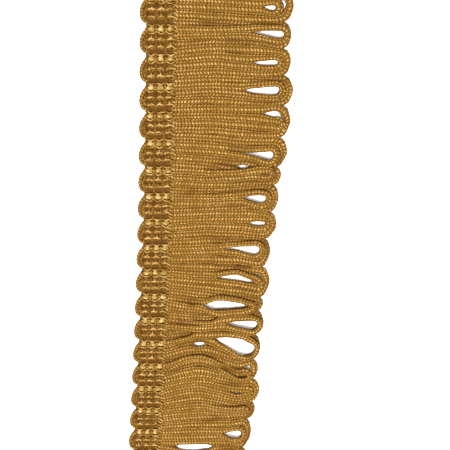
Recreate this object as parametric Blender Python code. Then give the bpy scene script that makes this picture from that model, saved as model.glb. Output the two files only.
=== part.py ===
"""Cord fringe trim, lying flat on its back.

A heading with a scalloped outer edge carries pairs of nested cord loops, one loop inside the other.
X runs across the trim, from the scalloped edge to the loops. Y runs along it, and Z 0 is its flat back.
The origin is on the back of the heading, in the middle of its length and width.
Lengths are in millimetres until a point is placed, which turns them into metres.
"""

import math

import bmesh
import bpy
import numpy as np

MM = 0.001
CLEARANCE = 0.3

# The trim as a whole. It is cut a little above its top scallop, so that the first cord has its root
REPEAT = 9.0
GROUPS = 20
TRIM_LENGTH = REPEAT * GROUPS
TOP_ALLOWANCE = 2.2
LEAN = math.atan(0.0603)
BOW_DEPTH = 1.0
BOW_REACH = 75.0

# Heading
HEADING_MIDDLE = 6.0
NOTCH_REACH = 9.8
SCALLOP_DEPTH = 1.8
SCALLOP_RADIUS = 4.45
RIDGE_START = 8.3
STRIP_REACH = 1.0
HEADING_SIDE_HEIGHT = 1.2
HEADING_SIDE_RUN = 0.35

# Shoulder of the heading at the scalloped edge: distance in from the edge, and height there
SHOULDER_STEPS = ((0.0, 0.55), (0.4, 1.5), (1.15, 1.9))

# Height of the heading over one scallop, by distance up the trim from the scallop's middle
ROW_PROFILE = (
    # from_middle, height
    (4.5, 1.9),
    (3.25, 2.3),
    (1.9, 1.7),
    (0.4, 2.2),
    (-0.7, 1.7),
    (-1.85, 2.2),
    (-3.2, 1.2),
)

# Strip that the loops are sewn into
STRIP_EDGE = 0.15
STRIP_HEIGHT = 1.7
STRIP_STEPS = 40

# Cord
CORD_WIDTH = 1.85
CORD_LEAST_WIDTH = 1.15
CORD_HEIGHT = 1.4
CORD_TOP_SHARE = 0.7
CORD_LOOK_WIDTH = 2.1
CORD_PITCH = 2.25
LEVEL_HEIGHT = CORD_HEIGHT + CLEARANCE
ROOT_REACH = -0.4
BEND_REACH = 12.0
TIP_ROUNDNESS = 3.4
TIP_ANGLES = (80, 45, 0, -45, -80)

# A loop that lies on top rises where a cord below comes nearer than this, and is clear of it at the second
RISE_STARTS_APART = 2.0
RISE_FULL_APART = 1.6
STEEPEST_RISE = 0.35
FINE_STEPS = 6

# Each pair's middle lies this far from the notch above it
PAIR_BELOW_NOTCH = 2.0

# One row for each pair of loops, from the top end of the trim down.
# reach, crown and foot are how far the outer loop reaches and the two edges of its tip, and tuck,
# tuck_crown and tuck_foot are the same of the inner loop. All but the reaches are from the pair's middle.
# on_top is 1 where the inner loop lies over its neighbours instead of beside them.
# a to d are the four legs, top to bottom, where they bend and then at the reach near_out or near_in.
LOOPS = (
    # reach, crown, foot, near_out, tuck, tuck_crown, tuck_foot, near_in, on_top,
    # bend_a, bend_b, bend_c, bend_d, near_a, near_b, near_c, near_d
    (35.4, 3.3, -5.5, 26.0, 31.5, 1.1, -3.3, 26.0, 0, 3.3, 1.1, -1.2, -3.4, 2.3, 0.1, -2.2, -4.4),
    (35.4, 3.3, -5.9, 26.0, 31.8, 0.9, -4.5, 25.6, 0, 3.0, 0.6, -1.8, -4.2, 2.3, -0.3, -2.8, -5.1),
    (35.1, 3.1, -5.1, 26.0, 34.6, 2.4, -3.7, 23.8, 1, 2.7, 1.0, -0.9, -2.6, 1.8, 1.4, -1.2, -2.9),
    (35.5, 3.9, -4.5, 26.0, 33.4, 2.2, -3.0, 21.0, 0, 4.4, 2.0, -0.5, -2.9, 3.6, 1.0, -1.5, -3.7),
    (36.8, 4.5, -4.7, 26.0, 34.2, 3.4, -3.2, 20.9, 1, 4.0, 1.7, -0.6, -2.9, 3.6, 1.3, -1.3, -3.8),
    (36.6, 4.3, -6.2, 26.0, 35.0, 0.2, -4.2, 24.0, 1, 3.3, 1.1, -1.2, -3.6, 3.3, 0.3, -2.2, -5.2),
    (36.3, 2.8, -6.9, 22.0, 33.9, 0.1, -6.2, 25.6, 1, 2.7, 0.4, -1.9, -4.2, 1.8, -1.2, -3.8, -4.9),
    (34.9, 2.1, -3.8, 22.0, 32.8, 2.4, -2.4, 26.0, 1, 2.3, 0.3, -1.8, -3.9, 0.4, 1.2, -1.2, -3.5),
    (34.8, 5.1, -4.3, 26.0, 32.4, 3.7, -2.8, 22.0, 1, 3.0, 1.1, -0.9, -2.8, 3.8, 2.1, -0.4, -2.2),
    (34.7, 4.7, -4.5, 26.0, 32.8, 3.2, -2.1, 24.0, 0, 4.1, 2.0, -0.2, -2.4, 4.4, 2.1, -0.5, -3.1),
    (33.4, 4.4, -6.1, 26.0, 31.6, 4.0, -3.4, 21.0, 1, 3.7, 1.5, -0.7, -3.1, 3.7, 2.5, -0.6, -3.9),
    (34.1, 2.9, -8.3, 26.0, 32.1, -1.1, -5.4, 23.0, 1, 2.7, 0.1, -1.9, -4.9, 1.8, 1.4, -2.9, -6.5),
    (32.4, 0.7, -4.3, 18.0, 30.3, 0.0, -4.4, 17.0, 1, 1.9, -0.6, -3.2, -4.6, 1.1, 1.0, -4.4, -4.6),
    (33.3, 4.8, -4.5, 26.0, 33.2, 3.2, -4.0, 20.0, 1, 2.0, 0.1, -1.4, -2.4, 2.9, 1.5, -1.1, -3.2),
    (33.0, 4.5, -5.3, 26.0, 32.9, 3.7, -5.2, 26.0, 1, 4.7, 4.5, 2.8, -1.0, 4.0, 4.2, -3.7, -4.6),
    (33.0, 3.7, -4.3, 26.0, 31.2, 0.2, -4.8, 26.0, 1, 5.7, 5.3, 3.0, -0.6, 2.0, -1.6, -3.7, -3.5),
    (34.3, 4.7, -4.4, 26.0, 32.4, 1.8, -2.6, 26.0, 0, 5.9, 3.7, 1.5, -0.8, 3.5, 0.6, -2.2, -3.9),
    (33.3, 4.7, -2.2, 26.0, 31.4, 3.5, -0.9, 25.6, 1, 5.5, 2.8, 0.4, -1.9, 3.2, 2.1, 0.4, -1.2),
    (32.9, 6.6, -5.8, 26.0, 31.3, 3.6, -3.4, 22.0, 1, 4.5, 1.6, -1.1, -3.6, 4.4, 1.5, -1.0, -3.6),
    (32.2, 3.2, -4.3, 26.0, 30.0, 2.3, -2.1, 25.0, 1, 0.9, -1.2, -3.2, -5.2, 2.9, 1.0, -1.2, -3.2),
)

# Steps along each stretch between the points of a loop's route: few on the legs, more round the tip
OUTER_STEPS = (3, 3, 2, 2, 2, 2, 2, 2, 3, 3)
INNER_STEPS = (3, 3, 2, 1, 2, 2, 1, 2, 3, 3)
TOP_STEPS = (3, 4, 2, 1, 2, 2, 1, 2, 4, 3)

# Colours, in linear light
HEADING_COLOUR = (0.33, 0.17, 0.035, 1.0)
CORD_COLOUR = (0.43, 0.215, 0.04, 1.0)
YARN_ROUGHNESS = 0.62


def place(reach, along, height):
    """A point in metres, from its reach past the heading's straight edge and its distance up the trim."""
    across = reach + HEADING_MIDDLE - BOW_DEPTH * (along / BOW_REACH) ** 2
    x = across * math.cos(LEAN)
    y = along / math.cos(LEAN) + across * math.sin(LEAN)
    return np.array((x, y, height)) * MM


def scallop_middle(group):
    return TRIM_LENGTH / 2 - REPEAT * (group + 0.5)


def scalloped_reach(from_middle):
    """How far the heading's outer edge stands out, by distance from a scallop's middle."""
    rise = math.sqrt(SCALLOP_RADIUS**2 - min(abs(from_middle), SCALLOP_RADIUS) ** 2)
    return NOTCH_REACH + max(0.0, rise - SCALLOP_RADIUS + SCALLOP_DEPTH)


def heading_rows():
    """Distance up the trim, outer reach and height of each row of the heading, from the top end down."""
    top_end = TRIM_LENGTH / 2 + TOP_ALLOWANCE
    rows = [(top_end, NOTCH_REACH, ROW_PROFILE[-1][1])]
    for group in range(GROUPS):
        for from_middle, height in ROW_PROFILE:
            rows.append((scallop_middle(group) + from_middle, scalloped_reach(from_middle), height))
    rows.append((-TRIM_LENGTH / 2, NOTCH_REACH, ROW_PROFILE[0][1]))
    return rows


def heading_column(reach_out, height):
    """Reach and height of each point across one row, from the scalloped edge to the straight one."""
    column = [(inset - reach_out, top) for inset, top in SHOULDER_STEPS]
    column.append((-RIDGE_START, height))
    column.append((-STRIP_REACH - CLEARANCE - HEADING_SIDE_RUN, height))
    column.append((-STRIP_REACH - CLEARANCE, HEADING_SIDE_HEIGHT))
    return column


def ridged_sheet(columns):
    """A closed sheet with a flat back, whose top has the given columns of placed points."""
    across = len(columns[0])
    bm = bmesh.new()
    bmesh.ops.create_grid(bm, x_segments=across - 1, y_segments=len(columns) - 1, size=1)
    grid = sorted(bm.verts, key=lambda v: (round(v.co.y, 4), round(v.co.x, 4)))
    for index, vert in enumerate(grid):
        vert.co = columns[index // across][index % across]
    top = list(bm.faces)
    made = bmesh.ops.extrude_face_region(bm, geom=top)
    back = [item for item in made["geom"] if isinstance(item, bmesh.types.BMVert)]
    for vert in back:
        vert.co.z = 0.0
    back_faces = [item for item in made["geom"] if isinstance(item, bmesh.types.BMFace)]
    bmesh.ops.dissolve_faces(bm, faces=back_faces)
    bmesh.ops.recalc_face_normals(bm, faces=bm.faces)
    return bm


def smooth_route(points, steps):
    """Points read off a smooth curve through the given ones, with so many steps along each stretch."""
    points = np.array(points, float)
    spans = np.linalg.norm(np.diff(points, axis=0), axis=1) ** 0.5
    slopes = np.zeros_like(points)
    before, after = spans[:-1, None], spans[1:, None]
    slopes[1:-1] = (
        (points[1:-1] - points[:-2]) / before
        - (points[2:] - points[:-2]) / (before + after)
        + (points[2:] - points[1:-1]) / after
    )
    slopes[0] = (points[1] - points[0]) / spans[0]
    slopes[-1] = (points[-1] - points[-2]) / spans[-1]
    route = []
    for index, count in enumerate(steps):
        for step in range(count):
            s = step / count
            span = spans[index]
            route.append(
                (2 * s**3 - 3 * s**2 + 1) * points[index]
                + (s**3 - 2 * s**2 + s) * span * slopes[index]
                + (3 * s**2 - 2 * s**3) * points[index + 1]
                + (s**3 - s**2) * span * slopes[index + 1]
            )
    route.append(points[-1])
    return np.array(route)


def loop_route(group, row, inner, fine):
    """The middle line of one loop in plan, as placed points in millimetres, with so many to a step."""
    bends, nears = row[9:13], row[13:17]
    middle = scallop_middle(group) + REPEAT / 2 - PAIR_BELOW_NOTCH
    if inner:
        legs, (end, crown, foot, near_reach) = (1, 2), row[4:8]
        steps = TOP_STEPS if row[8] else INNER_STEPS
    else:
        legs, (end, crown, foot, near_reach), steps = (0, 3), row[:4], OUTER_STEPS
    half = (crown - foot - CORD_LOOK_WIDTH) / 2
    round_reach = min(half, TIP_ROUNDNESS)
    tip_middle = (crown + foot) / 2
    tip_start = end - CORD_LOOK_WIDTH / 2 - round_reach
    upper, lower = (
        [(ROOT_REACH, (1.5 - leg) * CORD_PITCH), (BEND_REACH, bends[leg]), (near_reach, nears[leg])]
        for leg in legs
    )
    tip = [
        (tip_start + round_reach * math.cos(angle), tip_middle + half * math.sin(angle))
        for angle in np.radians(TIP_ANGLES)
    ]
    route = smooth_route(upper + tip + lower[::-1], [fine * count for count in steps])
    return np.array([place(r, middle + from_middle, 0) for r, from_middle in route]) / MM


def apart_in_plan(point, route):
    """How far a point is from each stretch of a route, seen from above."""
    starts, runs = route[:-1, :2], np.diff(route[:, :2], axis=0)
    share = np.einsum("ij,ij->i", point[:2] - starts, runs) / np.einsum("ij,ij->i", runs, runs)
    nearest = starts + np.clip(share, 0, 1)[:, None] * runs
    return np.linalg.norm(nearest - point[:2], axis=1)


def lay_on_top(route, below):
    """Lifts a loop over the cords below it, no steeper than a cord lies."""
    gaps = np.array([min(apart_in_plan(point, other).min() for other in below) for point in route])
    wanted = LEVEL_HEIGHT * np.clip(
        (RISE_STARTS_APART - gaps) / (RISE_STARTS_APART - RISE_FULL_APART), 0, 1
    )
    along = np.concatenate(([0], np.cumsum(np.linalg.norm(np.diff(route, axis=0), axis=1))))
    reached = wanted[None, :] - STEEPEST_RISE * np.abs(along[:, None] - along[None, :])
    route[:, 2] = np.maximum(reached.max(axis=1), 0)


def keep_stations(route, fine):
    """One point a step, each as high as the route is anywhere within half a step of it."""
    half = fine // 2
    kept = route[::fine].copy()
    for index in range(len(kept)):
        near = route[max(0, index * fine - half) : index * fine + half + 1, 2]
        kept[index, 2] = near.max()
    return kept


def all_routes():
    """The middle lines of all loops, those on the surface first and then those that lie on top."""
    on_floor, on_top = [], []
    for group, row in enumerate(LOOPS):
        for inner in (False, True):
            raised = inner and row[8]
            (on_top if raised else on_floor).append(loop_route(group, row, inner, FINE_STEPS))
    for route in on_top:
        lay_on_top(route, on_floor)
    return [keep_stations(route, FINE_STEPS) for route in on_floor + on_top]


def crowded_widths(index, routes):
    """The cord's width at each point of one route, narrower where a neighbour at its level crowds it."""
    widths = []
    for point in routes[index]:
        width = CORD_WIDTH
        for other, route in enumerate(routes):
            if other == index:
                continue
            level = np.abs(route[:, 2] - point[2]) < CORD_HEIGHT + CLEARANCE / 2
            beside = apart_in_plan(point, route)[level[:-1] | level[1:]]
            if len(beside):
                width = min(width, beside.min() - CLEARANCE)
        widths.append(max(width, CORD_LEAST_WIDTH))
    return widths


def add_strand(bm, route, widths):
    """Lofts one four-sided cord along its route, flat underneath and narrower on top."""
    rings = []
    for index, point in enumerate(route):
        ahead = route[min(index + 1, len(route) - 1)] - route[max(index - 1, 0)]
        side = np.array((-ahead[1], ahead[0], 0.0)) / math.hypot(ahead[0], ahead[1])
        half = widths[index] / 2
        top = point + np.array((0, 0, CORD_HEIGHT))
        corners = (
            point + side * half,
            top + side * half * CORD_TOP_SHARE,
            top - side * half * CORD_TOP_SHARE,
            point - side * half,
        )
        rings.append([bm.verts.new(corner * MM) for corner in corners])
    for first, second in zip(rings[:-1], rings[1:]):
        for corner in range(4):
            after = (corner + 1) % 4
            bm.faces.new((first[corner], first[after], second[after], second[corner]))
    bm.faces.new(rings[0][::-1])
    bm.faces.new(rings[-1])


def material(name, colour):
    made = bpy.data.materials.new(name)
    made.use_nodes = True
    shader = made.node_tree.nodes["Principled BSDF"]
    shader.inputs["Base Color"].default_value = colour
    shader.inputs["Roughness"].default_value = YARN_ROUGHNESS
    return made


def add_object(name, bm, collection, finish=None):
    mesh = bpy.data.meshes.new(name)
    bmesh.ops.recalc_face_normals(bm, faces=bm.faces)
    bm.to_mesh(mesh)
    bm.free()
    if finish:
        mesh.materials.append(finish)
    made = bpy.data.objects.new(name, mesh)
    collection.objects.link(made)
    return made


def build_heading(collection):
    """The knitted band: cords laid across it as ridges, and turned back at its edge as scallops."""
    columns = [
        [place(reach, along, top) for reach, top in heading_column(reach_out, height)]
        for along, reach_out, height in heading_rows()
    ]
    yarn = material("heading_yarn", HEADING_COLOUR)
    return add_object("heading", ridged_sheet(columns), collection, yarn)


def build_fringe(collection, helpers):
    """The loops, with their roots in the narrow strip beside the heading."""
    columns = []
    for along in np.linspace(TRIM_LENGTH / 2 + TOP_ALLOWANCE, -TRIM_LENGTH / 2, STRIP_STEPS + 1):
        columns.append([place(reach, along, STRIP_HEIGHT) for reach in (-STRIP_REACH, STRIP_EDGE)])
    cord = material("fringe_cord", CORD_COLOUR)
    strip = add_object("fringe", ridged_sheet(columns), collection, cord)
    bm = bmesh.new()
    routes = all_routes()
    for index, route in enumerate(routes):
        add_strand(bm, route, crowded_widths(index, routes))
    strands = add_object("strands", bm, helpers)
    strands.hide_render = True
    strands.display_type = "WIRE"
    join = strip.modifiers.new("loops sewn in", "BOOLEAN")
    join.operation = "UNION"
    join.solver = "EXACT"
    join.object = strands
    return strip


def main():
    for item in list(bpy.data.objects):
        bpy.data.objects.remove(item)
    parts = bpy.data.collections.new("cord_fringe_trim")
    helpers = bpy.data.collections.new("helpers")
    for collection in (parts, helpers):
        bpy.context.scene.collection.children.link(collection)
    build_heading(parts)
    build_fringe(parts, helpers)


main()
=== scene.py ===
import math

import bmesh
import bpy
import numpy as np
from mathutils import Matrix, Vector


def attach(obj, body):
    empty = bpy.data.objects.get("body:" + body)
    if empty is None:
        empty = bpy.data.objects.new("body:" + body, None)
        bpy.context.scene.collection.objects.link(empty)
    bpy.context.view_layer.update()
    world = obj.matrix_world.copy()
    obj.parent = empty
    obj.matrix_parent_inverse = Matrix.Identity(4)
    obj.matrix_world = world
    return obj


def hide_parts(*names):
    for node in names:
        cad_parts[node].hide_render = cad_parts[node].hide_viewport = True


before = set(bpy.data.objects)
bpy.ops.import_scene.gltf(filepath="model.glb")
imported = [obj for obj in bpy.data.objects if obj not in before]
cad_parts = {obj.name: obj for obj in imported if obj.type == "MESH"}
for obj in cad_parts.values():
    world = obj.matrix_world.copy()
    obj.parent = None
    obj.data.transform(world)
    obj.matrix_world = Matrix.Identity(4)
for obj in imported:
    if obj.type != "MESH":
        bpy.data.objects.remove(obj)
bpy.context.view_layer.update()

MM = 0.001
chance = np.random.default_rng(11)

# The trim as the solids have it, in millimetres
REPEAT = 9.0
GROUPS = 20
TRIM_LENGTH = REPEAT * GROUPS
TOP_ALLOWANCE = 2.2
LEAN = math.atan(0.0603)
BOW_DEPTH = 1.0
BOW_REACH = 75.0
HEADING_MIDDLE = 6.0
CORD_WIDTH = 2.1
CORD_PITCH = 2.25
ROOT_REACH = -0.4
UNDER_EDGE = 0.5
BEND_REACH = 12.0
TIP_ROUNDNESS = 3.4
TIP_ANGLES = (80, 45, 0, -45, -80)
PAIR_BELOW_NOTCH = 2.0

# One row for each pair of loops, from the top end of the trim down
LOOPS = (
    # reach, crown, foot, near_out, tuck, tuck_crown, tuck_foot, near_in, on_top,
    # bend_a, bend_b, bend_c, bend_d, near_a, near_b, near_c, near_d
    (35.4, 3.3, -5.5, 26.0, 31.5, 1.1, -3.3, 26.0, 0, 3.3, 1.1, -1.2, -3.4, 2.3, 0.1, -2.2, -4.4),
    (35.4, 3.3, -5.9, 26.0, 31.8, 0.9, -4.5, 25.6, 0, 3.0, 0.6, -1.8, -4.2, 2.3, -0.3, -2.8, -5.1),
    (35.1, 3.1, -5.1, 26.0, 34.6, 2.4, -3.7, 23.8, 1, 2.7, 1.0, -0.9, -2.6, 1.8, 1.4, -1.2, -2.9),
    (35.5, 3.9, -4.5, 26.0, 33.4, 2.2, -3.0, 21.0, 0, 4.4, 2.0, -0.5, -2.9, 3.6, 1.0, -1.5, -3.7),
    (36.8, 4.5, -4.7, 26.0, 34.2, 3.4, -3.2, 20.9, 1, 4.0, 1.7, -0.6, -2.9, 3.6, 1.3, -1.3, -3.8),
    (36.6, 4.3, -6.2, 26.0, 35.0, 0.2, -4.2, 24.0, 1, 3.3, 1.1, -1.2, -3.6, 3.3, 0.3, -2.2, -5.2),
    (36.3, 2.8, -6.9, 22.0, 33.9, 0.1, -6.2, 25.6, 1, 2.7, 0.4, -1.9, -4.2, 1.8, -1.2, -3.8, -4.9),
    (34.9, 2.1, -3.8, 22.0, 32.8, 2.4, -2.4, 26.0, 1, 2.3, 0.3, -1.8, -3.9, 0.4, 1.2, -1.2, -3.5),
    (34.8, 5.1, -4.3, 26.0, 32.4, 3.7, -2.8, 22.0, 1, 3.0, 1.1, -0.9, -2.8, 3.8, 2.1, -0.4, -2.2),
    (34.7, 4.7, -4.5, 26.0, 32.8, 3.2, -2.1, 24.0, 0, 4.1, 2.0, -0.2, -2.4, 4.4, 2.1, -0.5, -3.1),
    (33.4, 4.4, -6.1, 26.0, 31.6, 4.0, -3.4, 21.0, 1, 3.7, 1.5, -0.7, -3.1, 3.7, 2.5, -0.6, -3.9),
    (34.1, 2.9, -8.3, 26.0, 32.1, -1.1, -5.4, 23.0, 1, 2.7, 0.1, -1.9, -4.9, 1.8, 1.4, -2.9, -6.5),
    (32.4, 0.7, -4.3, 18.0, 30.3, 0.0, -4.4, 17.0, 1, 1.9, -0.6, -3.2, -4.6, 1.1, 1.0, -4.4, -4.6),
    (33.3, 4.8, -4.5, 26.0, 33.2, 3.2, -4.0, 20.0, 1, 2.0, 0.1, -1.4, -2.4, 2.9, 1.5, -1.1, -3.2),
    (33.0, 4.5, -5.3, 26.0, 32.9, 3.7, -5.2, 26.0, 1, 4.7, 4.5, 2.8, -1.0, 4.0, 4.2, -3.7, -4.6),
    (33.0, 3.7, -4.3, 26.0, 31.2, 0.2, -4.8, 26.0, 1, 5.7, 5.3, 3.0, -0.6, 2.0, -1.6, -3.7, -3.5),
    (34.3, 4.7, -4.4, 26.0, 32.4, 1.8, -2.6, 26.0, 0, 5.9, 3.7, 1.5, -0.8, 3.5, 0.6, -2.2, -3.9),
    (33.3, 4.7, -2.2, 26.0, 31.4, 3.5, -0.9, 25.6, 1, 5.5, 2.8, 0.4, -1.9, 3.2, 2.1, 0.4, -1.2),
    (32.9, 6.6, -5.8, 26.0, 31.3, 3.6, -3.4, 22.0, 1, 4.5, 1.6, -1.1, -3.6, 4.4, 1.5, -1.0, -3.6),
    (32.2, 3.2, -4.3, 26.0, 30.0, 2.3, -2.1, 25.0, 1, 0.9, -1.2, -3.2, -5.2, 2.9, 1.0, -1.2, -3.2),
)

# Knitted cord: its section, and how near a neighbour or its own other leg lies where the two touch
CORD_HEIGHT = 1.5
LEAST_WIDTH = 1.25
LAID_OVER = 1.3
NEIGHBOURS_MEET = 3.5
OWN_LEGS_MEET = 2.65
FLATNESS = 0.66

# Its stitches, and the height of its surface across half a wale, from the middle out, and along one stitch
STITCH = 1.05
STITCH_RINGS = 4
WALES = 4
WALE_SIDES = 4
CORD_SIDES = WALES * WALE_SIDES
RELIEF = 0.13
LEG_SLANT = 0.62
ACROSS_LEG = (0.15, 1.0, 0.0)
ALONG_STITCH = (0.0, 0.8, 1.0, 0.7)

# Chance in how a cord lies: its turn in radians a millimetre, and where its first wale starts
CORD_TURN, CORD_START = 0.012, 0.2

# The fringe is joined into so many pieces
FRINGE_PARTS = 4

# Steps between two points of a curve, and then along a route; how many groups away a loop looks for others
CURVE_STEPS = 16
LINE_GAP = 0.3
NEAR_GROUPS = 2
FAR_AWAY = 9.0

# Points over which a route's own sway comes in from its ends, and its shift towards free room
SWAY_EASE, SHIFT_EASE = 20, 8
# Points that a raised cord stays up on both sides of a crossing, and over which it then comes down
LIFT_HOLD, LIFT_EASE = 3, 7
ROOM_EASE = 5

# Slow chance movements, as their size and the points in one wave, and the largest chance phase of a wave
FULL_TURN = 6.28
SIDE_SWAY = (0.1, 34)
LEVEL_SWAY = (0.14, 55)
# Of these, the last two change the painted shade on a cord's flanks and top
FLANK_SHADE_SWAY = (0.45, 40)
TOP_SHADE_SWAY = (0.22, 70)

# A neighbour counts where it lies out to one side by more than this share of its distance
TO_ONE_SIDE = 0.6
# Differences in height under which two cords are level, and over which one is laid above the other
SAME_LEVEL, LAID_ABOVE = 0.75, 0.45
OWN_POINTS_APART = 14

# Room that a cord has to one side where it is crowded most, and how far it presses in where two meet
CLOSEST, CLOSEST_ROOM = 1.2, 0.76
PRESSED_IN = 0.17
PARTED = 0.35

# Painted shade on a cord's flank, by the distance to its neighbour: darkest where the two have just parted
BESIDE_SHADES = ((1.9, 0.15), (2.35, 0.3), (2.9, 0.85), (4.0, 0.7), (6.0, 0.2))
# The same painted shade beside a cord that is laid on top
UNDER_SHADES = ((1.2, 0.95), (2.0, 0.8), (3.1, 0.0))
# Painted shade on a cord's top, and what lying beside a raised cord adds to it
TOP_SHADE, TOP_SHADE_UNDER = 0.16, 0.35

# Rows of the heading, by distance up the trim from a scallop's middle
OUTER_TOP_ROW, OUTER_LOW_ROW = 3.2, -3.3
INNER_TOP_ROW, INNER_LOW_ROW = 0.35, -1.95
# Reaches at which a row is set out, and from which it bends towards its leg of a loop
ROW_REACHES = (-7.6, -6.0, -4.4, -3.6, -2.8, -2.0, -1.2, ROOT_REACH)
ROW_BENDS = -3.6
# The turns between rows at the scalloped edge, and the cut end above the top scallop: reach, from_middle
OUTER_TURN = (
    (-8.7, 3.3), (-9.6, 2.9), (-10.45, 1.7), (-10.95, 0.2),
    (-11.0, -1.3), (-10.5, -2.7), (-9.5, -3.4),
)
INNER_TURN = ((-8.8, 0.42), (-9.7, 0.1), (-10.05, -0.8), (-9.7, -1.7), (-8.8, -2.0))
CUT_END = ((-9.4, OUTER_LOW_ROW - 0.1), (-8.6, OUTER_LOW_ROW))

# Reaches where a laid cord's turn begins and its root begins, each with the run over which it comes in
TURN_START, TURN_RUN = -8.2, 1.2
ROOT_START, ROOT_RUN = -2.4, 2.0
# Widths and heights of the laid cords: on the rows, what the turn adds and what the root adds
OUTER_WIDTHS = (1.75, -0.5, 0.2)
INNER_WIDTHS = (1.95, -0.75, 0.1)
UPPER_ROW_HEIGHTS = (1.45, 0.3, 0.0)
LOWER_ROW_HEIGHTS = (1.1, 0.5, 0.3)
INNER_HEIGHT = 1.45
OUTER_BOTTOM, INNER_BOTTOM = 0.05, 0.1
# The upper row passes into the lower one at this distance from the scallop's middle, over about this length
ROWS_PART_AT, ROWS_PART_OVER = 0.5, 0.4
# Painted shade on them: the upper row, its turn, what the lower row adds where it lies deep
ROW_SHADE, TURN_SHADE, LOWER_ROW_SHADE = 0.2, 0.05, 0.8
# Painted shade on the inner turn's cord, which lies lower in the heading
INNER_SHADE = 0.5
# The least painted shade on a flank, along the rows and at the turn
FLANK_SHADE, FLANK_TURN_SHADE = 0.5, 0.1

# Lines of chain stitch down the heading, and of floats between them
CHAIN_APART = 2.9
CHAIN_REACHES = tuple(-9.25 + CHAIN_APART * line for line in range(3))
FLOAT_REACHES = tuple(-7.8 + CHAIN_APART * line for line in range(3))

# Fine yarns
YARN_SIDES = 6
YARN_GAP, ACROSS_YARN_GAP = 0.3, 0.25
PLY_DEPTH = 0.03
PLIES = 2
PLY_TURN = 5.2

# A tube starts at a chance multiple of TUBE_APART in the UV map, so that few look alike
TUBE_APART = 200
TUBE_STARTS = 90
WELD = 0.002


def place(reach, along):
    """Plan position in mm, from the reach past the heading's straight edge and the way up the trim."""
    reach, along = np.broadcast_arrays(np.asarray(reach, float), np.asarray(along, float))
    across = reach + HEADING_MIDDLE - BOW_DEPTH * (along / BOW_REACH) ** 2
    x = across * math.cos(LEAN)
    y = along / math.cos(LEAN) + across * math.sin(LEAN)
    return np.stack([x, y], axis=-1)


def scallop_middle(group):
    return TRIM_LENGTH / 2 - REPEAT * (group + 0.5)


# Lines and values along them

def curve_through(points):
    """A smooth line through the given points, as many small steps."""
    points = np.array(points, float)
    spans = np.linalg.norm(np.diff(points, axis=0), axis=1)[:, None] ** 0.5
    slopes = np.zeros_like(points)
    slopes[1:-1] = (
        (points[1:-1] - points[:-2]) / spans[:-1]
        - (points[2:] - points[:-2]) / (spans[:-1] + spans[1:])
        + (points[2:] - points[1:-1]) / spans[1:]
    )
    slopes[0] = (points[1] - points[0]) / spans[0]
    slopes[-1] = (points[-1] - points[-2]) / spans[-1]
    s = (np.arange(CURVE_STEPS) / CURVE_STEPS)[None, :, None]
    span = spans[:, None]
    made = (
        (2 * s**3 - 3 * s**2 + 1) * points[:-1, None]
        + (s**3 - 2 * s**2 + s) * span * slopes[:-1, None]
        + (3 * s**2 - 2 * s**3) * points[1:, None]
        + (s**3 - s**2) * span * slopes[1:, None]
    )
    return np.vstack([made.reshape(-1, points.shape[1]), points[-1:]])


def run_of(points):
    return np.concatenate(([0.0], np.cumsum(np.linalg.norm(np.diff(points, axis=0), axis=1))))


def even_points(points, gap):
    run = run_of(points)
    at = np.linspace(0, run[-1], max(2, round(run[-1] / gap) + 1))
    return np.stack([np.interp(at, run, points[:, axis]) for axis in range(points.shape[1])], axis=-1)


def sideways(plan):
    """The direction to the left of a plan line, at each of its points."""
    ahead = np.gradient(plan, axis=0)
    return np.stack([-ahead[:, 1], ahead[:, 0]], axis=-1) / np.linalg.norm(ahead, axis=1)[:, None]


def eased_ends(count, reach):
    """A share for each point of a line: none at its two ends, and all from so many points in."""
    index = np.arange(count)
    return np.clip(np.minimum(index, index[::-1]) / reach, 0, 1)


def read_off(stations, at):
    """The value at a place, from pairs of place and value."""
    places, values = zip(*stations)
    return np.interp(at, places, values)


def soften(values, reach):
    """A running average, heaviest at the middle."""
    weights = np.hanning(2 * reach + 3)[1:-1]
    padded = np.pad(values, reach, mode="edge")
    return np.convolve(padded, weights / weights.sum(), mode="valid")


def wander(length, size, wave):
    """A slow chance movement along a line, as yarn has that isn't laid quite straight."""
    at = np.arange(length)
    made = np.zeros(length)
    parts = (1.0, 0.53, 0.31)
    for part in parts:
        made += part * np.sin(at / (wave * part) * 2 * math.pi + chance.uniform(0, FULL_TURN))
    return size * made / sum(parts)


# Routes of the loops

def loop_line(group, row, inner):
    bends, nears = row[9:13], row[13:17]
    middle = scallop_middle(group) + REPEAT / 2 - PAIR_BELOW_NOTCH
    legs, (end, crown, foot, near_reach) = ((1, 2), row[4:8]) if inner else ((0, 3), row[:4])
    half = (crown - foot - CORD_WIDTH) / 2
    round_reach = min(half, TIP_ROUNDNESS)
    tip_middle = (crown + foot) / 2
    tip_start = end - CORD_WIDTH / 2 - round_reach
    root = ROOT_REACH - UNDER_EDGE
    upper, lower = (
        [(root, (1.5 - leg) * CORD_PITCH), (BEND_REACH, bends[leg]), (near_reach, nears[leg])]
        for leg in legs
    )
    tip = [
        (tip_start + round_reach * math.cos(angle), tip_middle + half * math.sin(angle))
        for angle in np.radians(TIP_ANGLES)
    ]
    line = even_points(curve_through(upper + tip + lower[::-1]), LINE_GAP)
    plan = place(line[:, 0], middle + line[:, 1])
    sway = eased_ends(len(plan), SWAY_EASE) * wander(len(plan), *SIDE_SWAY)
    return plan + sideways(plan) * sway[:, None]


def nearest_gap(plan, other):
    """How far each point of one line is from another line."""
    return np.linalg.norm(plan[:, None] - other[None], axis=2).min(axis=1)


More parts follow.
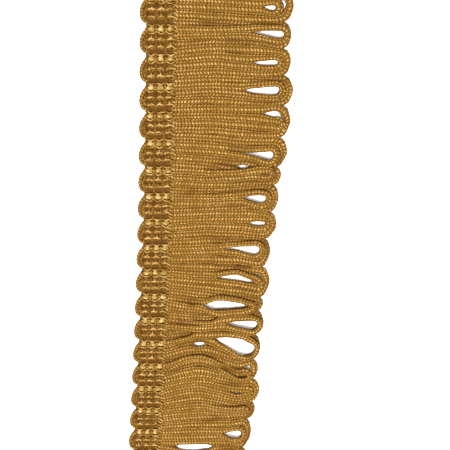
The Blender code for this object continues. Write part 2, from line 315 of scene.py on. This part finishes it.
def lay_loops():
    """Every loop as (group, points, widths, shades), with the ones on top lifted over what they cross."""
    on_floor, on_top = [], []
    for group, row in enumerate(LOOPS):
        for inner in (False, True):
            plan = loop_line(group, row, inner)
            (on_top if inner and row[8] else on_floor).append((group, plan))
    laid = [(group, plan, np.zeros(len(plan))) for group, plan in on_floor]
    for group, plan in on_top:
        lift = np.zeros(len(plan))
        for other_group, other in on_floor:
            if abs(other_group - group) <= NEAR_GROUPS:
                gaps = nearest_gap(plan, other)
                over = LAID_OVER * np.sqrt(np.clip(1 - (gaps / CORD_WIDTH) ** 2, 0, None))
                lift = np.maximum(lift, over)
        held = np.array([lift[max(0, i - LIFT_HOLD) : i + LIFT_HOLD + 1].max() for i in range(len(lift))])
        laid.append((group, plan, soften(held, LIFT_EASE)))
    return [(group, *spread(index, laid)) for index, (group, _, _) in enumerate(laid)]


def room_beside(gap, meet):
    """How far a soft cord spreads to one side, by the distance to its neighbour's middle."""
    stations = ((CLOSEST, CLOSEST_ROOM), (meet, meet / 2 + PRESSED_IN), (meet + PARTED, CORD_WIDTH / 2))
    return read_off(stations, gap)


def spread(index, laid):
    """One loop's points, widths and shades: it spreads towards its neighbours and narrows where crowded."""
    group, plan, lift = laid[index]
    side = sideways(plan)
    room = np.full((2, len(plan)), CORD_WIDTH / 2)
    crowded = np.full((2, len(plan)), FAR_AWAY)
    under = np.zeros((2, len(plan)))
    for other_index, (other_group, other, other_lift) in enumerate(laid):
        if abs(other_group - group) > NEAR_GROUPS:
            continue
        offsets = other[None] - plan[:, None]
        gaps = np.linalg.norm(offsets, axis=2)
        level = np.abs(lift[:, None] - other_lift[None]) < SAME_LEVEL
        above = other_lift[None] - lift[:, None] > LAID_ABOVE
        meet = NEIGHBOURS_MEET
        if other_index == index:
            point = np.arange(len(plan))
            level &= np.abs(point[:, None] - point[None]) > OWN_POINTS_APART
            meet = OWN_LEGS_MEET
        out = np.einsum("ijk,ik->ij", offsets, side)
        for hand, on_side in enumerate((out > TO_ONE_SIDE * gaps, out < -TO_ONE_SIDE * gaps)):
            found = np.where(level & on_side, gaps, FAR_AWAY).min(axis=1)
            room[hand] = np.where(found < crowded[hand], room_beside(found, meet), room[hand])
            crowded[hand] = np.minimum(crowded[hand], found)
            raised = np.where(above & on_side, gaps, FAR_AWAY).min(axis=1)
            under[hand] = np.maximum(under[hand], read_off(UNDER_SHADES, raised))
    left, right = (soften(side_room, ROOM_EASE) for side_room in room)
    shift = eased_ends(len(plan), SHIFT_EASE) * (left - right) / 2
    # Raised by the size of its own sway, so that no cord dips below the floor
    level = lift + LEVEL_SWAY[0] + wander(len(plan), *LEVEL_SWAY)
    points = np.column_stack([plan + side * shift[:, None], level])
    # Painted shade on each flank, darkest beside a near neighbour or a raised cord, and on the top, with slow
    # chance changes
    flanks = []
    for near, shadow in zip(crowded, under):
        darkest = soften(np.maximum(read_off(BESIDE_SHADES, near), shadow), ROOM_EASE)
        flanks.append(darkest + wander(len(plan), *FLANK_SHADE_SWAY))
    top = TOP_SHADE + wander(len(plan), *TOP_SHADE_SWAY)
    top += TOP_SHADE_UNDER * soften(under.max(axis=0), ROOM_EASE)
    shades = np.clip(np.column_stack([flanks[0], top, flanks[1]]), 0, 1)
    return points, np.clip(left + right, LEAST_WIDTH, None), shades


# Routes of the cords laid across the heading

def row_inwards(start, leg):
    """A row from the turn inwards, which bends at its end towards its leg of a loop."""
    reaches = np.array(ROW_REACHES)
    share = np.clip((reaches - ROW_BENDS) / (ROOT_REACH - ROW_BENDS), 0, 1)
    ease = share * share * (3 - 2 * share)
    return np.column_stack([reaches, start + (leg - start) * ease])


def laid_cord(group, route, inner=False):
    """One laid cord as (points, widths, heights, shades)."""
    line = even_points(curve_through(route), LINE_GAP)
    plan = place(line[:, 0], scallop_middle(group) + line[:, 1])
    at_turn = np.clip((TURN_START - line[:, 0]) / TURN_RUN, 0, 1)
    at_root = np.clip((line[:, 0] - ROOT_START) / ROOT_RUN, 0, 1)

    def blend(on_row, turn_adds, root_adds):
        return on_row + turn_adds * at_turn + root_adds * at_root

    if inner:
        width, bottom = blend(*INNER_WIDTHS), INNER_BOTTOM
        height = np.full(len(line), INNER_HEIGHT)
        shade = np.full(len(line), INNER_SHADE)
    else:
        width, bottom = blend(*OUTER_WIDTHS), OUTER_BOTTOM
        upper = 1 / (1 + np.exp(-(line[:, 1] - ROWS_PART_AT) / ROWS_PART_OVER))
        lower = 1 - upper
        height = upper * blend(*UPPER_ROW_HEIGHTS) + lower * blend(*LOWER_ROW_HEIGHTS)
        # Painted shade, deepest on the lower row where it lies deep under the others
        shade = ROW_SHADE + (TURN_SHADE - ROW_SHADE) * at_turn
        shade += LOWER_ROW_SHADE * lower * (1 - at_turn) * (1 - at_root)
    flank = np.maximum(shade, FLANK_SHADE + (FLANK_TURN_SHADE - FLANK_SHADE) * at_turn)
    points = np.column_stack([plan, np.full(len(line), bottom)])
    return points, width, height, np.column_stack([flank, shade, flank])


def laid_cords():
    """The laid cords from the top down: a cut one's lower row, then each scallop's outer and inner turn."""
    legs = [REPEAT / 2 - PAIR_BELOW_NOTCH + (1.5 - leg) * CORD_PITCH for leg in range(4)]
    outer_low = row_inwards(OUTER_LOW_ROW, legs[0] - REPEAT)
    outer = np.vstack([row_inwards(OUTER_TOP_ROW, legs[1])[::-1], OUTER_TURN, outer_low])
    inner_low = row_inwards(INNER_LOW_ROW, legs[3])
    inner = np.vstack([row_inwards(INNER_TOP_ROW, legs[2])[::-1], INNER_TURN, inner_low])
    made = [laid_cord(-1, np.vstack([CUT_END, outer_low]))]
    for group in range(GROUPS):
        made += [laid_cord(group, outer), laid_cord(group, inner, inner=True)]
    return made


# Making tubes

def tube_mesh(points, widths, heights, sides, gap, turn=0.0, start_angle=0.0, shades=None, ply=0.0):
    """A tube along the points, whose third number is the height of its underside, with seam and ends open.

    A knitted tube has shades, for its left flank, its top and its right flank. The UV map runs once round the
    tube in U and counts stitches, or millimetres on plain yarn, in V.
    """
    knitted = shades is not None
    run = run_of(points)
    round_angle = np.arange(sides + 1) / sides * 2 * math.pi
    shear = np.zeros(sides + 1)
    if knitted:
        spot = np.arange(sides + 1) % WALE_SIDES
        from_middle = np.minimum(spot, WALE_SIDES - spot)
        shear = LEG_SLANT * STITCH * from_middle * 2 / WALE_SIDES
    rings = max(3, int((run[-1] - shear.max()) / gap) + 1)
    at = np.linspace(0, run[-1] - shear.max(), rings)[:, None] + shear[None]

    def along(values):
        return np.interp(at, run, values)

    centre = np.stack([along(points[:, axis]) for axis in range(3)], axis=-1)
    ahead = np.gradient(points, run, axis=0)
    ahead = np.stack([along(ahead[:, axis]) for axis in range(3)], axis=-1)
    ahead /= np.linalg.norm(ahead, axis=-1, keepdims=True)
    side = np.stack([-ahead[..., 1], ahead[..., 0], np.zeros(at.shape)], axis=-1)
    side /= np.linalg.norm(side, axis=-1, keepdims=True)
    up = np.cross(ahead, side)
    half_width, half_height = along(widths) / 2, along(heights) / 2
    centre[..., 2] += half_height
    angle = round_angle[None] + start_angle + turn * at
    over, rise = np.cos(angle), np.sin(angle)
    if knitted:
        along_stitch = np.array(ALONG_STITCH)[np.arange(rings) % STITCH_RINGS]
        sunk = RELIEF * (1 - along_stitch[:, None] * np.array(ACROSS_LEG)[from_middle][None])
        over = np.sign(over) * np.abs(over) ** FLATNESS
        rise = np.sign(rise) * np.abs(rise) ** FLATNESS
    else:
        sunk = ply * (0.5 + 0.5 * np.cos(PLIES * round_angle[None] + PLY_TURN * at))
    surface = centre + side * (over * (half_width - sunk))[..., None]
    surface += up * (rise * (half_height - sunk))[..., None]
    bm = bmesh.new()
    bm.loops.layers.uv.new("yarn")
    bmesh.ops.create_grid(bm, x_segments=sides, y_segments=rings - 1, size=1, calc_uvs=True)
    mesh = bpy.data.meshes.new("tube")
    bm.to_mesh(mesh)
    bm.free()
    mesh.vertices.foreach_set("co", (surface * MM).reshape(-1).astype(np.float32))
    if knitted:
        # Painted shade of each vertex: the top's value on the top, each flank's on its side
        flank = np.where(np.cos(angle) > 0, along(shades[:, 0]), along(shades[:, 2]))
        shade = np.sin(angle) ** 2 * along(shades[:, 1]) + np.cos(angle) ** 2 * flank
        kept = mesh.attributes.new("shade", "FLOAT", "POINT").data
        kept.foreach_set("value", shade.reshape(-1).astype(np.float32))
    uv = np.zeros(len(mesh.loops) * 2, np.float32)
    mesh.uv_layers["yarn"].data.foreach_get("uv", uv)
    uv = uv.reshape(-1, 2)
    length = (rings - 1) / STITCH_RINGS if knitted else run[-1]
    uv[:, 1] = uv[:, 1] * length + TUBE_APART * chance.integers(1, TUBE_STARTS)
    mesh.uv_layers["yarn"].data.foreach_set("uv", uv.reshape(-1))
    return mesh


def cord_tube(points, widths, heights, shades):
    turn = chance.uniform(-CORD_TURN, CORD_TURN)
    start_angle = math.pi / 2 + chance.uniform(-CORD_START, CORD_START)
    return tube_mesh(points, widths, heights, CORD_SIDES, STITCH / STITCH_RINGS, turn, start_angle, shades)


def yarn_tubes(lines, gap, ply=0.0):
    return [tube_mesh(*line, YARN_SIDES, gap, ply=ply) for line in lines]


def piece_of(name, meshes, finish):
    """One object from many tubes: seams welded, ends filled, faces outwards."""
    bm = bmesh.new()
    for mesh in meshes:
        bm.from_mesh(mesh)
        bpy.data.meshes.remove(mesh)
    bmesh.ops.remove_doubles(bm, verts=bm.verts, dist=WELD * MM)
    bmesh.ops.holes_fill(bm, edges=[edge for edge in bm.edges if edge.is_boundary], sides=0)
    bmesh.ops.recalc_face_normals(bm, faces=bm.faces)
    return add_piece(name, bm, finish)


def add_piece(name, bm, finish):
    """The object made of a finished bmesh, smooth all over."""
    for face in bm.faces:
        face.smooth = True
    mesh = bpy.data.meshes.new(name)
    bm.to_mesh(mesh)
    bm.free()
    mesh.materials.append(finish)
    item = bpy.data.objects.new(name, mesh)
    bpy.context.scene.collection.objects.link(item)
    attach(item, "root")
    return item


# Materials

# Sockets of a Mix node that mixes colours
MIX_SHARE, MIX_FIRST, MIX_SECOND, MIX_RESULT = 0, 6, 7, 2


class Socket:
    """A socket in a material's shader, with arithmetic that adds Math nodes."""

    def __init__(self, nodes, output):
        self.nodes, self.output = nodes, output

    def math(self, operation, *others):
        return self.nodes.node("ShaderNodeMath", {"operation": operation}, self, *others)

    def __add__(self, other):
        return self.math("ADD", other)

    __radd__ = __add__

    def __sub__(self, other):
        return self.math("SUBTRACT", other)

    def __mul__(self, other):
        return self.math("MULTIPLY", other)

    def floor(self):
        return self.math("FLOOR")

    def share(self):
        return self.math("FRACT")

    def size(self):
        return self.math("ABSOLUTE")

    def wave(self):
        return self.math("SINE")

    def between(self, low, high, start=0.0, end=1.0):
        """This value moved smoothly from one range to another, held at its ends."""
        return self.nodes.node(
            "ShaderNodeMapRange", {"interpolation_type": "SMOOTHSTEP"}, self, low, high, start, end
        )


class Finish:
    """A material and the way its nodes are added."""

    def __init__(self, name):
        self.material = bpy.data.materials.new(name)
        self.material.use_nodes = True
        self.tree = self.material.node_tree
        self.shader = self.tree.nodes["Principled BSDF"]

    def node(self, kind, settings, *inputs, out=0, **named):
        """Adds a node: its type, its settings, then its sockets in order or by name."""
        made = self.tree.nodes.new(kind)
        for key, value in settings.items():
            setattr(made, key, value)
        for key, value in list(enumerate(inputs)) + [(k.replace("_", " "), v) for k, v in named.items()]:
            self.join(value, made.inputs[key])
        return Socket(self, made.outputs[out])

    def join(self, value, socket):
        if isinstance(value, Socket):
            self.tree.links.new(value.output, socket)
        else:
            socket.default_value = value

    def set(self, **sockets):
        for key, value in sockets.items():
            self.join(value, self.shader.inputs[key.replace("_", " ")])

    def two_parts(self, where):
        """The first two numbers of a place."""
        return [self.node("ShaderNodeSeparateXYZ", {}, where, out=axis) for axis in ("X", "Y")]

    def uv(self):
        return self.two_parts(self.node("ShaderNodeUVMap", {"uv_map": "yarn"}))

    def vector(self, x, y):
        return self.node("ShaderNodeCombineXYZ", {}, x, y)

    def object_place(self):
        return self.node("ShaderNodeTexCoord", {}, out="Object")

    def noise(self, where, scale, detail):
        return self.node("ShaderNodeTexNoise", {}, Vector=where, Scale=scale, Detail=detail)

    def white_noise(self, where):
        return self.node("ShaderNodeTexWhiteNoise", {}, where)

    def mix(self, share, first, second):
        made = self.tree.nodes.new("ShaderNodeMix")
        made.data_type = "RGBA"
        self.join(share, made.inputs[MIX_SHARE])
        self.join(first, made.inputs[MIX_FIRST])
        self.join(second, made.inputs[MIX_SECOND])
        return Socket(self, made.outputs[MIX_RESULT])

    def bump(self, height, distance):
        self.set(Normal=self.node("ShaderNodeBump", {}, Strength=1.0, Distance=distance, Height=height))


def rgb(red, green, blue):
    """A colour given as it looks on a screen, from 0 to 255, turned into linear light."""
    def linear(value):
        value /= 255
        return value / 12.92 if value <= 0.04045 else ((value + 0.055) / 1.055) ** 2.4
    return (linear(red), linear(green), linear(blue), 1.0)


def cord_finish():
    """Knitted cord: a pale dash of painted highlight on each leg of a stitch, brown painted shade between,
    fine filaments along the cord.
    """
    f = Finish("knitted cord")
    u, v = f.uv()
    wales = u * WALES
    from_middle = ((wales + 0.5).share() - 0.5).size() * 2
    uneven = f.noise(f.object_place(), 420, 1)
    along = (v + (uneven - 0.5) * 0.9).share()
    dash = f.white_noise(f.vector((wales * 2).floor(), v.floor()))
    leg = (from_middle * math.pi).wave()
    stitch = along.between(0.0, 0.4) * along.between(0.62, 1.0, 1.0, 0.0)
    crown = leg * stitch
    patch = f.noise(f.object_place(), 160, 3)
    filaments = f.noise(f.vector(u * 60, v * 1.6), 1.0, 2)
    shade = f.node("ShaderNodeAttribute", {"attribute_name": "shade"}, out="Fac")
    # Painted shade in the grooves between the legs, and a painted highlight on each leg's crown, stronger on
    # some dashes by chance
    base = f.mix(crown.between(0.0, 0.6), rgb(86, 54, 3), rgb(119, 83, 17))
    base = f.mix(crown.between(0.55, 0.95) * (0.25 + dash * 0.75), base, rgb(184, 154, 98))
    base = f.mix(patch.between(0.4, 0.65) * 0.3, base, rgb(98, 66, 8))
    base = f.mix(filaments.between(0.5, 0.72) * 0.2, base, rgb(84, 52, 4))
    # Painted shade from the mesh's shade attribute: beside neighbours, under raised cords and on the
    # heading's deep rows
    base = f.mix(shade.between(0.1, 1.0) * 0.85, base, rgb(72, 40, 1))
    f.set(Base_Color=base, Roughness=0.65, Specular_IOR_Level=0.08)
    f.bump(crown * 0.4 + filaments * 0.4 + (wales * 36).wave() * 0.1, 0.0001)
    return f.material


def yarn_finish(name, dark, light, roughness):
    """Smooth spun yarn, with its filaments along it."""
    f = Finish(name)
    u, v = f.uv()
    ply = ((u * PLIES + v * 0.8) * 2 * math.pi).wave()
    filaments = f.noise(f.vector(u * 26, v * 1.5), 1.0, 2)
    patch = f.noise(f.object_place(), 500, 2)
    base = f.mix(patch.between(0.35, 0.65), dark, light)
    base = f.mix(filaments.between(0.48, 0.7) * 0.3, base, dark)
    f.set(Base_Color=base, Roughness=roughness, Specular_IOR_Level=0.12)
    f.bump(filaments * 0.6 + ply * 0.3, 0.00008)
    return f.material


def ground_finish():
    """The knitted ground under the cords, dark brown partly as painted shade: small rows of stitches on
    object coordinates.
    """
    f = Finish("knitted ground")
    x, y = f.two_parts(f.object_place())
    knit = (x * (2 * math.pi / 0.0007)).wave() * (y * (2 * math.pi / 0.001)).wave()
    fuzz = f.noise(f.object_place(), 1400, 3)
    base = f.mix(knit.between(-0.6, 0.9), rgb(70, 40, 2), rgb(108, 70, 14))
    base = f.mix(fuzz.between(0.45, 0.7) * 0.5, base, rgb(84, 52, 6))
    f.set(Base_Color=base, Roughness=0.7, Specular_IOR_Level=0.1)
    f.bump(knit * 0.5 + fuzz * 0.5, 0.0002)
    return f.material


# The heading's finer yarns, each line as (points, widths, heights)

# Height of a chain by distance from the scallop's middle, over the rows and on the straight edge
CHAIN_HEIGHTS = (
    (4.4, 1.2), (3.2, 1.1), (1.9, 0.9), (0.9, 1.4), (0.2, 1.45), (-0.8, 1.05),
    (-1.5, 1.4), (-2.3, 1.4), (-3.2, 0.85), (-4.2, 1.2),
)
EDGE_CHAIN_HEIGHTS = ((0, 1.15),)
# Width, sway to each side and pitch of a chain's two yarns
CHAIN_YARNS = (0.4, 0.2, 1.5)
EDGE_CHAIN_YARNS = (0.5, 0.12, 1.3)
CHAIN_MARGIN, CHAIN_GAP = 0.15, 0.16
CHAIN_SWAY = (0.08, 60)
CHAIN_WEAVE = 0.12
CHAIN_THICKNESS = 0.85


def profile(from_middle, stations):
    """Height by distance from the scallop's middle, repeated down the trim."""
    places, heights = zip(*sorted(stations))
    wrapped = (np.asarray(from_middle) + REPEAT / 2) % REPEAT - REPEAT / 2
    first = (places[-1] - REPEAT, *places, places[0] + REPEAT)
    return np.interp(wrapped, first, (heights[-1], *heights, heights[0]))


def chain_lines(reach, stations, width, sway_out, pitch):
    """Two yarns that cross again and again: a chain stitch down the whole trim."""
    made = []
    top_end = TRIM_LENGTH / 2 + TOP_ALLOWANCE
    along = np.arange(top_end - CHAIN_MARGIN, -TRIM_LENGTH / 2 + CHAIN_MARGIN, -CHAIN_GAP)
    for phase in (0.0, math.pi):
        turn = (TRIM_LENGTH / 2 - along) / pitch * math.pi + phase
        sway = sway_out * np.sin(turn) + wander(len(along), *CHAIN_SWAY)
        level = profile(along - scallop_middle(0), stations) + CHAIN_WEAVE * np.cos(turn * 2)
        line = np.column_stack([place(reach + sway, along), soften(level, 3)])
        made.append((line, np.full(len(line), width), np.full(len(line), width * CHAIN_THICKNESS)))
    return made


# Yarns across each scallop: from_middle, low, high, width, zigzag
ACROSS_YARNS = (
    (2.35, 1.0, 1.6, 0.45, 0.22),
    (0.45, 1.15, 1.65, 0.6, -0.2),
    (-1.85, 1.15, 1.65, 0.6, -0.2),
    (-4.3, 0.9, 1.4, 0.5, 0.15),
)
ACROSS_FROM, ACROSS_TO, ACROSS_STEP = -9.7, -0.6, 0.12
ACROSS_SWAY = (0.16, 17)
# A yarn is hidden within the first distance of a chain's middle, and is up on top after the second
CHAIN_HIDES, COMES_UP_OVER = 0.05, 0.7
YARN_THICKNESS = 0.8


def across_line(group, from_middle, low, high, width, zigzag):
    """A yarn across the heading, down under each chain and up between them."""
    reach = np.arange(ACROSS_FROM, ACROSS_TO, ACROSS_STEP)
    from_chain = np.min([np.abs(reach - chain) for chain in (*CHAIN_REACHES, ROOT_REACH)], axis=0)
    shown = np.clip((from_chain - CHAIN_HIDES) / COMES_UP_OVER, 0, 1)
    level = low + (high - low) * shown**0.7
    sway = wander(len(reach), *ACROSS_SWAY) + zigzag * np.cos(from_chain / (CHAIN_APART / 2) * math.pi)
    plan = place(reach, scallop_middle(group) + from_middle + sway)
    thick = width * (0.45 + 0.55 * shown)
    return np.column_stack([plan, soften(level, 2)]), thick, thick * YARN_THICKNESS


STITCH_POINTS = 9
STITCH_STRAY = 0.07


def short_stitch(group, start, end, low, high, width):
    """One stitch that comes up, lies on the surface and goes down again, between two (reach, from_middle)."""
    t = np.linspace(0, 1, STITCH_POINTS)[:, None]
    shift = chance.normal(0, STITCH_STRAY, 2)
    spot = np.array(start) + (np.array(end) - np.array(start)) * t + shift
    arch = np.sin(math.pi * t[:, 0])
    level = low + (high - low) * arch**0.5
    line = np.column_stack([place(spot[:, 0], scallop_middle(group) + spot[:, 1]), level])
    thick = width * (0.55 + 0.45 * arch)
    return line, thick, thick * YARN_THICKNESS


# Stitches down the straight edge: how many to a scallop, where the first lies, their reaches and their lean
EDGE_STITCHES = 7
EDGE_FIRST = 4.2
EDGE_FROM, EDGE_TO = -1.0, 0.1
EDGE_LEAN, EDGE_LEAN_CHANCE = 0.3, 0.12
# Low, high and width
EDGE_STITCH = (1.1, 1.75, 0.55)


def edge_stitches():
    """The slanted stitches down the heading's straight edge, each one by itself."""
    made = []
    for group in range(GROUPS):
        for step in range(EDGE_STITCHES):
            at = EDGE_FIRST - step * REPEAT / EDGE_STITCHES
            lean = EDGE_LEAN + chance.uniform(-EDGE_LEAN_CHANCE, EDGE_LEAN_CHANCE)
            made.append(short_stitch(group, (EDGE_FROM, at + lean), (EDGE_TO, at - lean), *EDGE_STITCH))
    return made


# Stitches in line with the floats: top and foot of the two in a scallop, the share that shows, and their lean
UPRIGHTS = ((1.5, 0.1), (-0.7, -2.0))
UPRIGHTS_SHOWN = 0.8
UPRIGHT_LEAN = 0.1
# Low, high and width
UPRIGHT_STITCH = (0.9, 1.72, 0.5)


def upright_stitches():
    """Short stitches up the trim, in line with the floats, two to a scallop in each line."""
    made = []
    for group in range(GROUPS):
        for reach in FLOAT_REACHES:
            for top, foot in UPRIGHTS:
                if chance.random() < UPRIGHTS_SHOWN:
                    start, end = (reach + UPRIGHT_LEAN, top), (reach - UPRIGHT_LEAN, foot)
                    made.append(short_stitch(group, start, end, *UPRIGHT_STITCH))
    return made


# A fan of floats: its yarns, and where it starts, how long it is and half its width at the foot
FLOAT_STRANDS = 7
FLOAT_POINTS = 14
FLOAT_TOP, FLOAT_LENGTH, FLOAT_HALF_WIDTH = 4.62, 1.85, 0.88
FLOAT_LOW, FLOAT_RISE = 0.6, 1.45
FLOAT_WIDTH = 0.32
# The outermost yarns are this much shorter, and lower by this share
FLOAT_SHORTER, FLOAT_LOWER = 0.35, 0.35


def float_lines(group, reach):
    """A fan of shiny yarns side by side over the top cord of the scallop, wider at its foot."""
    made = []
    size = chance.uniform(0.9, 1.12)
    lean = chance.uniform(-0.3, 0.3)
    t = np.linspace(0, 1, FLOAT_POINTS)
    arch = np.sin(math.pi * np.clip(t**1.4 * 0.86 + 0.1, 0, 1)) ** 0.6
    for share in np.linspace(-1, 1, FLOAT_STRANDS):
        length = FLOAT_LENGTH - FLOAT_SHORTER * share**2 + chance.uniform(-0.12, 0.12)
        out = size * (0.25 + 0.75 * t) * FLOAT_HALF_WIDTH * share + lean * (t - 0.5)
        level = FLOAT_LOW + FLOAT_RISE * (1 - FLOAT_LOWER * share**2) * arch
        plan = place(reach + out, scallop_middle(group) + FLOAT_TOP - length * t)
        thick = FLOAT_WIDTH * size * (0.7 + 0.45 * t)
        made.append((np.column_stack([plan, level]), thick, thick))
    return made


# The ground: its straight edge, its scalloped one at the notches and at the tips, its mesh and its thickness
GROUND_INNER = 0.5
GROUND_NOTCH, GROUND_TIP = 9.3, 10.8
GROUND_MARGIN, GROUND_GAP, GROUND_COLUMNS = 0.3, 0.45, 12
GROUND_TOP, GROUND_THICKNESS = 0.95, 0.9


def ground_sheet(finish):
    """The thin knitted ground of the heading, with its scalloped edge under the cords' turns."""
    rows = []
    top_end = TRIM_LENGTH / 2 + TOP_ALLOWANCE
    for along in np.arange(top_end - GROUND_MARGIN, -TRIM_LENGTH / 2 + GROUND_MARGIN, -GROUND_GAP):
        from_middle = (along - scallop_middle(0) + REPEAT / 2) % REPEAT - REPEAT / 2
        edge = -GROUND_NOTCH - (GROUND_TIP - GROUND_NOTCH) * (1 - (abs(from_middle) / (REPEAT / 2)) ** 2)
        rows.append(place(np.linspace(edge, GROUND_INNER, GROUND_COLUMNS + 1), along))
    bm = bmesh.new()
    bmesh.ops.create_grid(bm, x_segments=GROUND_COLUMNS, y_segments=len(rows) - 1, size=1)
    for vert, (x, y) in zip(bm.verts, np.concatenate(rows)):
        vert.co = (x * MM, y * MM, GROUND_TOP * MM)
    bmesh.ops.recalc_face_normals(bm, faces=bm.faces)
    if sum(face.normal.z for face in bm.faces) < 0:
        bmesh.ops.reverse_faces(bm, faces=bm.faces)
    item = add_piece("heading_ground", bm, finish)
    thick = item.modifiers.new("thickness", "SOLIDIFY")
    thick.thickness = GROUND_THICKNESS * MM
    thick.offset = -1
    return item


# Pieces

def build_fringe(cord):
    loops = lay_loops()
    made = []
    for part in range(FRINGE_PARTS):
        meshes = [
            cord_tube(points, widths, np.full(len(points), CORD_HEIGHT), shades)
            for group, points, widths, shades in loops
            if group * FRINGE_PARTS // GROUPS == part
        ]
        made.append(piece_of(f"cord_loops_{part + 1}", meshes, cord))
    return made


def build_chains(brown):
    lines = [line for reach in CHAIN_REACHES for line in chain_lines(reach, CHAIN_HEIGHTS, *CHAIN_YARNS)]
    lines += chain_lines(ROOT_REACH, EDGE_CHAIN_HEIGHTS, *EDGE_CHAIN_YARNS)
    return piece_of("warp_chains", yarn_tubes(lines, YARN_GAP, PLY_DEPTH), brown)


def build_cross_yarns(gold):
    lines = [across_line(group, *yarn) for group in range(GROUPS) for yarn in ACROSS_YARNS]
    lines += edge_stitches() + upright_stitches()
    return piece_of("cross_yarns", yarn_tubes(lines, ACROSS_YARN_GAP, PLY_DEPTH), gold)


def build_floats(satin):
    lines = [line for group in range(GROUPS) for reach in FLOAT_REACHES for line in float_lines(group, reach)]
    return piece_of("satin_floats", yarn_tubes(lines, YARN_GAP), satin)


def build_pieces():
    cord = cord_finish()
    fringe = build_fringe(cord)
    laid = piece_of("heading_cords", [cord_tube(*line) for line in laid_cords()], cord)
    chains = build_chains(yarn_finish("ground yarn", rgb(78, 48, 4), rgb(118, 80, 22), 0.65))
    across = build_cross_yarns(yarn_finish("chain yarn", rgb(126, 88, 26), rgb(178, 144, 84), 0.55))
    floats = build_floats(yarn_finish("satin yarn", rgb(136, 104, 38), rgb(190, 164, 104), 0.4))
    ground = ground_sheet(ground_finish())
    for item in fringe:
        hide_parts("fringe")
    for item in (ground, laid):
        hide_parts("heading")


# The stage: white paper, a white world and one soft light, in metres and watts
FLOOR_SIZE, FLOOR_LEVEL = 3, -0.0001
WORLD_LIGHT = 0.8
KEY_PLACE, KEY_SIZE, KEY_POWER = (-0.08, -0.04, 0.67), 0.22, 9.0


def floor_finish():
    f = Finish("white paper")
    grain = f.noise(f.object_place(), 900, 3)
    f.set(Base_Color=f.mix(grain, (0.86, 0.86, 0.86, 1), (0.9, 0.9, 0.9, 1)), Roughness=0.9)
    f.set(Emission_Color=(1, 1, 1, 1), Emission_Strength=0.24)
    f.bump(grain, 0.00003)
    return f.material


def build_stage():
    bm = bmesh.new()
    bmesh.ops.create_grid(bm, x_segments=1, y_segments=1, size=FLOOR_SIZE)
    mesh = bpy.data.meshes.new("floor")
    bm.to_mesh(mesh)
    bm.free()
    mesh.materials.append(floor_finish())
    floor = bpy.data.objects.new("floor", mesh)
    bpy.context.scene.collection.objects.link(floor)
    floor.location.z = FLOOR_LEVEL
    world = bpy.data.worlds.new("studio")
    world.use_nodes = True
    world.node_tree.nodes["Background"].inputs["Color"].default_value = (1, 1, 1, 1)
    world.node_tree.nodes["Background"].inputs["Strength"].default_value = WORLD_LIGHT
    bpy.context.scene.world = world
    bpy.context.scene.view_settings.view_transform = "Standard"
    light = bpy.data.lights.new("key light", "AREA")
    light.size = KEY_SIZE
    light.energy = KEY_POWER
    item = bpy.data.objects.new("key light", light)
    item.location = KEY_PLACE
    item.rotation_euler = (-Vector(KEY_PLACE)).to_track_quat("-Z", "Y").to_euler()
    bpy.context.scene.collection.objects.link(item)


# The photograph's view: where the camera aims on the trim's plane, how far it is and how it is tilted
AIM_X, AIM_Y = 23.557, 8.137
CAMERA_FAR = 281.52
CAMERA_TILT = math.radians(20)
CAMERA_LENS, CAMERA_SENSOR = 67.58, 36


def build_camera():
    back = Vector((-math.sin(LEAN) * math.sin(CAMERA_TILT), math.cos(LEAN) * math.sin(CAMERA_TILT),
                   math.cos(CAMERA_TILT)))
    right = Vector((math.cos(LEAN), math.sin(LEAN), 0))
    up = back.cross(right)
    data = bpy.data.cameras.new("camera")
    data.sensor_width = CAMERA_SENSOR
    data.lens = CAMERA_LENS
    data.clip_start = 0.01
    data.clip_end = 10
    camera = bpy.data.objects.new("camera", data)
    camera.location = (Vector((AIM_X, AIM_Y, 0)) + back * CAMERA_FAR) * MM
    camera.rotation_euler = Matrix((right, up, back)).transposed().to_euler()
    bpy.context.scene.collection.objects.link(camera)
    bpy.context.scene.camera = camera


build_camera()
build_pieces()
build_stage()
